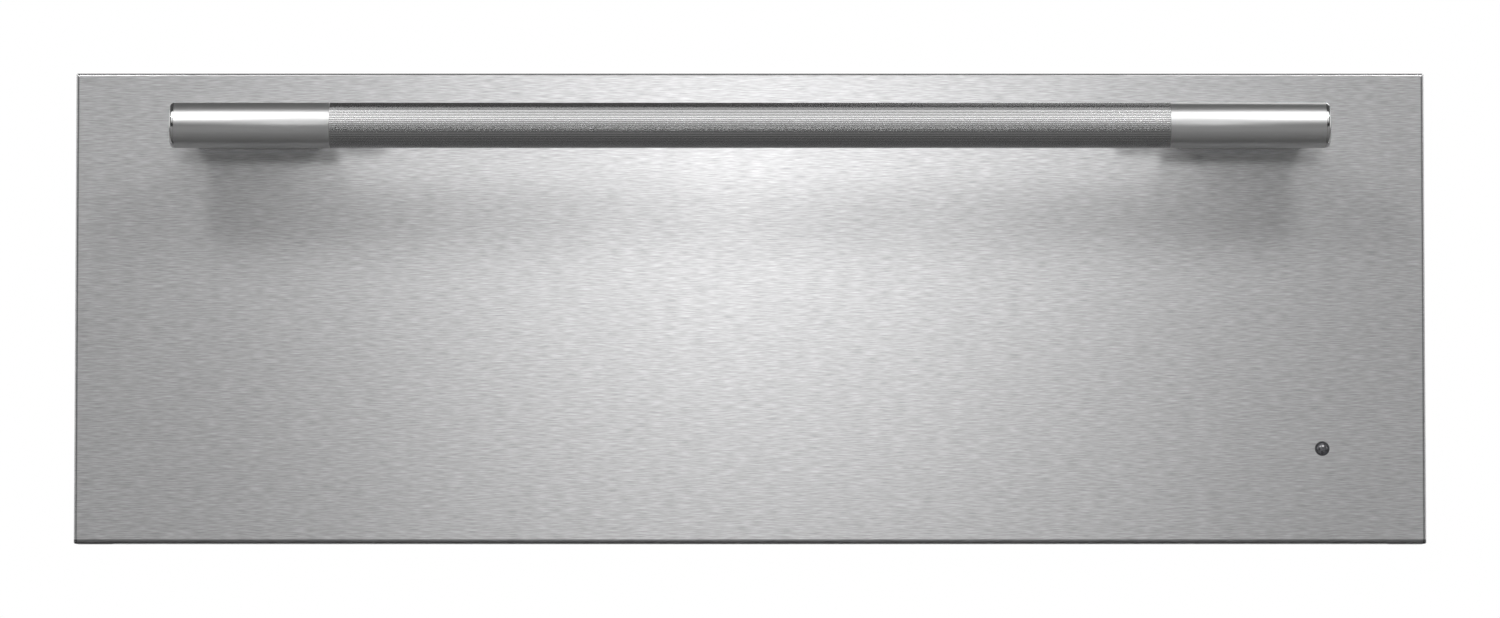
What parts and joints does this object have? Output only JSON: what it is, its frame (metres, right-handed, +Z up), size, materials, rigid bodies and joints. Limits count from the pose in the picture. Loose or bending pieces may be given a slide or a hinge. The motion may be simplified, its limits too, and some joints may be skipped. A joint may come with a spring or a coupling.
{
  "type": "warming drawer",
  "caption": "Built-in warming drawer: folded steel front, fluted bar handle, indicator lens, full-extension ball slides, heated sheet-metal cavity with a thermostat knob.",
  "frame": {"origin": "on the surface that the case stands on, midway across, in the plane where the front frame's back meets the cabinet's face", "axes": "+X to the right seen from the front, +Y to the back, +Z up; the drawer opens along -Y"},
  "size_m": [0.7556, 0.6907, 0.2635],
  "materials": {
    "galvanised": "satin zinc-coated sheet",
    "front_steel": "fine horizontal brushed grain",
    "liner_steel": "plain rolled",
    "handle_steel": "polished, fluted grip",
    "polished_steel": "polished",
    "slide_steel": "bright zinc plated",
    "ball_cage": "yellow zinc with bright steel balls",
    "screw_steel": "plated",
    "element_sheath": "oxidised sheath",
    "reflector": "bright",
    "fibre": "pressed mineral fibre",
    "copper": "bare tube",
    "black_moulding": "moulded",
    "ceramic": "moulded terminal block",
    "thermostat": "plated can",
    "lamp": "neon lamp",
    "lead": "silicone insulation",
    "gasket": "silicone seal",
    "lens": "smoked clear lens",
    "knob": "satin moulding",
    "pointer": "inlay"
  },
  "bodies": {
    "case": {"base_pan": "galvanised", "outer_case": "galvanised", "rear_panel": "galvanised", "front_frame": "liner_steel", "cavity_liner": "liner_steel", "insulation_boards": "fibre", "heat_reflector": "reflector", "heating_element": "element_sheath", "element_clips": "slide_steel", "thermostat_bulb": "copper", "limit_thermostat": "black_moulding", "terminal_block": "ceramic", "cord_gland": "black_moulding", "control_fascia": "black_moulding", "thermostat_body": "thermostat", "indicator_lamp": "lamp", "wiring_harness": "lead", "case_screws": "screw_steel", "liner_screws": "screw_steel", "left_cabinet_rail": "slide_steel", "right_cabinet_rail": "slide_steel"},
    "left_middle": {"left_middle_rail": "slide_steel"},
    "right_middle": {"right_middle_rail": "slide_steel"},
    "left_outer_cage": {"left_outer_ball_cage": "ball_cage"},
    "right_outer_cage": {"right_outer_ball_cage": "ball_cage"},
    "left_inner_cage": {"left_inner_ball_cage": "ball_cage"},
    "right_inner_cage": {"right_inner_ball_cage": "ball_cage"},
    "drawer": {"left_drawer_rail": "slide_steel", "right_drawer_rail": "slide_steel", "drawer_box": "liner_steel", "box_screws": "screw_steel", "vent_rivets": "screw_steel", "front_skin": "front_steel", "front_inner_panel": "liner_steel", "front_insulation": "fibre", "left_front_bracket": "galvanised", "right_front_bracket": "galvanised", "front_gasket": "gasket", "front_panel_screws": "screw_steel", "indicator_lens": "lens", "lens_bezel": "black_moulding", "handle_grip": "handle_steel", "left_handle_sleeve": "handle_steel", "right_handle_sleeve": "handle_steel", "left_handle_cap": "polished_steel", "right_handle_cap": "polished_steel", "left_handle_post": "handle_steel", "right_handle_post": "handle_steel", "handle_screws": "screw_steel"},
    "vent": {"vent_slider": "liner_steel", "vent_slider_knob": "black_moulding"},
    "knob": {"control_knob": "knob", "knob_pointer": "pointer"}
  },
  "joints": [
    {"name": "drawer_slide", "type": "slide", "parent": "case", "child": "drawer", "axis": [0, -1, 0], "range_m": [0, 0.5]},
    {"name": "left_outer_cage_slide", "type": "slide", "parent": "case", "child": "left_outer_cage", "axis": [0, -1, 0], "range_m": [0, 0.125]},
    {"name": "left_middle_slide", "type": "slide", "parent": "case", "child": "left_middle", "axis": [0, -1, 0], "range_m": [0, 0.25]},
    {"name": "left_inner_cage_slide", "type": "slide", "parent": "case", "child": "left_inner_cage", "axis": [0, -1, 0], "range_m": [0, 0.375]},
    {"name": "right_outer_cage_slide", "type": "slide", "parent": "case", "child": "right_outer_cage", "axis": [0, -1, 0], "range_m": [0, 0.125]},
    {"name": "right_middle_slide", "type": "slide", "parent": "case", "child": "right_middle", "axis": [0, -1, 0], "range_m": [0, 0.25]},
    {"name": "right_inner_cage_slide", "type": "slide", "parent": "case", "child": "right_inner_cage", "axis": [0, -1, 0], "range_m": [0, 0.375]},
    {"name": "vent_slide", "type": "slide", "parent": "drawer", "child": "vent", "axis": [1, 0, 0], "range_m": [0, 0.012]},
    {"name": "thermostat_turn", "type": "hinge", "parent": "case", "child": "knob", "pos_m": [0.33622, -0.0037, 0.15], "axis": [0, 1, 0], "range_deg": [0, 285]}
  ],
  "couplings": [
    {"joint": "left_outer_cage_slide", "follows": "drawer_slide", "ratio": 0.25},
    {"joint": "left_middle_slide", "follows": "drawer_slide", "ratio": 0.5},
    {"joint": "left_inner_cage_slide", "follows": "drawer_slide", "ratio": 0.75},
    {"joint": "right_outer_cage_slide", "follows": "drawer_slide", "ratio": 0.25},
    {"joint": "right_middle_slide", "follows": "drawer_slide", "ratio": 0.5},
    {"joint": "right_inner_cage_slide", "follows": "drawer_slide", "ratio": 0.75}
  ]
}
